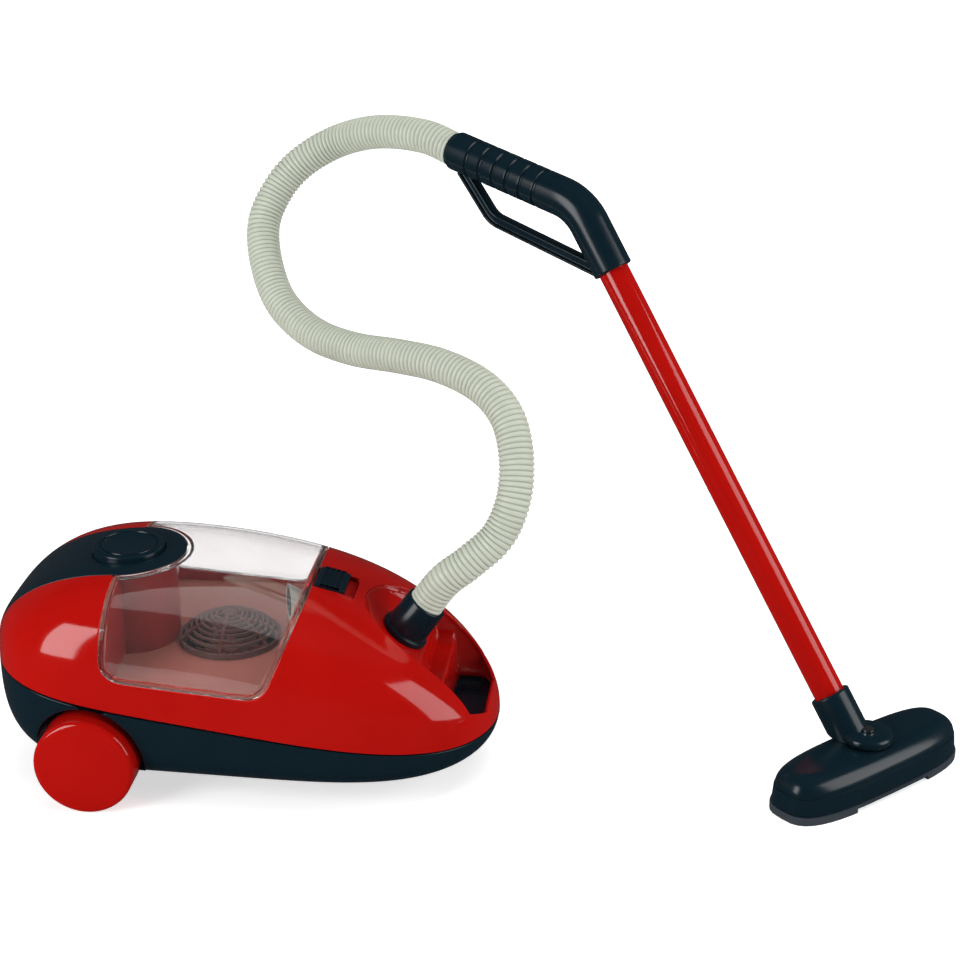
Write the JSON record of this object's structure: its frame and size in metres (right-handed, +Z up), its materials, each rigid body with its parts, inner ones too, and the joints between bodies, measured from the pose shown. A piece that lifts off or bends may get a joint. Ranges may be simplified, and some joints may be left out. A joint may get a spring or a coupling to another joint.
{
  "type": "toy vacuum cleaner",
  "caption": "Toy canister vacuum cleaner on wheels with a clear dust lid, ribbed hose, grip handle, wand and swivelling floor nozzle.",
  "frame": {"origin": "floor level, at the centre of the footprint of the canister, wand and nozzle, without the free hose", "axes": "+X from the canister's rear end to its nose and on to the nozzle, +Y to the canister's left, +Z up"},
  "size_m": [0.6218, 0.333, 0.3804],
  "materials": {
    "red_plastic": "glossy injection-moulded red plastic",
    "navy_plastic": "glossy injection-moulded dark navy plastic",
    "clear_plastic": "clear, see-through moulded plastic",
    "cream_plastic": "satin flexible plastic",
    "grey_plastic": "satin moulded plastic",
    "slate_plastic": "satin moulded plastic",
    "black_plastic": "matt moulded plastic",
    "cell_jacket": "printed steel can, left plain",
    "steel": "bright zinc-plated steel",
    "brass": "plain sheet brass"
  },
  "bodies": {
    "canister": {"base_shell": "navy_plastic", "top_shell": "red_plastic", "control_panel": "navy_plastic", "dust_tray": "red_plastic", "filter_grille": "red_plastic", "inlet_duct": "grey_plastic", "switch_plate": "grey_plastic", "switch_body": "black_plastic", "button_spring": "steel", "motor_cradle": "grey_plastic", "motor": "steel", "battery_tray": "grey_plastic", "batteries": "cell_jacket", "battery_contacts": "brass", "battery_door": "navy_plastic", "door_screw": "steel", "housing_screws": "steel"},
    "rear_wheelset": {"rear_axle": "steel", "wheel_left": "red_plastic", "wheel_right": "red_plastic"},
    "caster": {"caster_fork": "navy_plastic", "caster_pin": "steel", "caster_clip": "steel"},
    "caster_roller": {"caster_wheel": "navy_plastic"},
    "button": {"power_button": "navy_plastic"},
    "latch": {"lid_latch": "navy_plastic"},
    "lid": {"clear_lid": "clear_plastic"},
    "impeller": {"fan": "cream_plastic", "motor_shaft": "steel"},
    "hose_line": {"hose_cuff": "navy_plastic", "hose": "cream_plastic", "hose_ferrule": "navy_plastic"},
    "wand_set": {"handle": "navy_plastic", "wand_tube": "red_plastic", "nozzle_neck": "navy_plastic"},
    "nozzle": {"swivel_pin": "steel", "nozzle_cover": "navy_plastic", "nozzle_sole": "slate_plastic", "nozzle_screws": "steel"}
  },
  "joints": [
    {"name": "rear_axle_spin", "type": "hinge", "parent": "canister", "child": "rear_wheelset", "pos_m": [-0.23768, -0.04347, 0.032], "axis": [0, 1, 0], "continuous": true},
    {"name": "caster_swivel", "type": "hinge", "parent": "canister", "child": "caster", "pos_m": [-0.05468, -0.04347, 0.027], "axis": [0, 0, 1], "continuous": true},
    {"name": "caster_spin", "type": "hinge", "parent": "caster", "child": "caster_roller", "pos_m": [-0.05968, -0.04347, 0.009], "axis": [0, 1, 0], "continuous": true},
    {"name": "button_press", "type": "slide", "parent": "canister", "child": "button", "axis": [0, 0, -1], "range_m": [0, 0.003], "stiffness_N_per_m": 300, "springref_m": -0.003, "deforming": ["button_spring"]},
    {"name": "latch_slide", "type": "slide", "parent": "canister", "child": "latch", "axis": [0.9703, 0, -0.2419], "range_m": [0, 0.005]},
    {"name": "lid_lift", "type": "slide", "parent": "canister", "child": "lid", "axis": [0, 0, 1], "range_m": [0, 0.07]},
    {"name": "fan_spin", "type": "hinge", "parent": "canister", "child": "impeller", "pos_m": [-0.16268, -0.04347, 0.062], "axis": [0, 0, 1], "continuous": true},
    {"name": "cuff_swivel", "type": "hinge", "parent": "canister", "child": "hose_line", "pos_m": [-0.04868, -0.04347, 0.0905], "axis": [0.5736, 0, 0.8192], "range_deg": [-25, 25]},
    {"name": "handle_swivel", "type": "hinge", "parent": "hose_line", "child": "wand_set", "pos_m": [-0.03546, 0.13025, 0.36341], "axis": [-0.8414, 0.5056, 0.1908], "range_deg": [-30, 30]},
    {"name": "nozzle_swivel", "type": "hinge", "parent": "wand_set", "child": "nozzle", "pos_m": [0.25032, -0.04147, 0.028], "axis": [0, 0, 1], "range_deg": [-25, 25]}
  ]
}
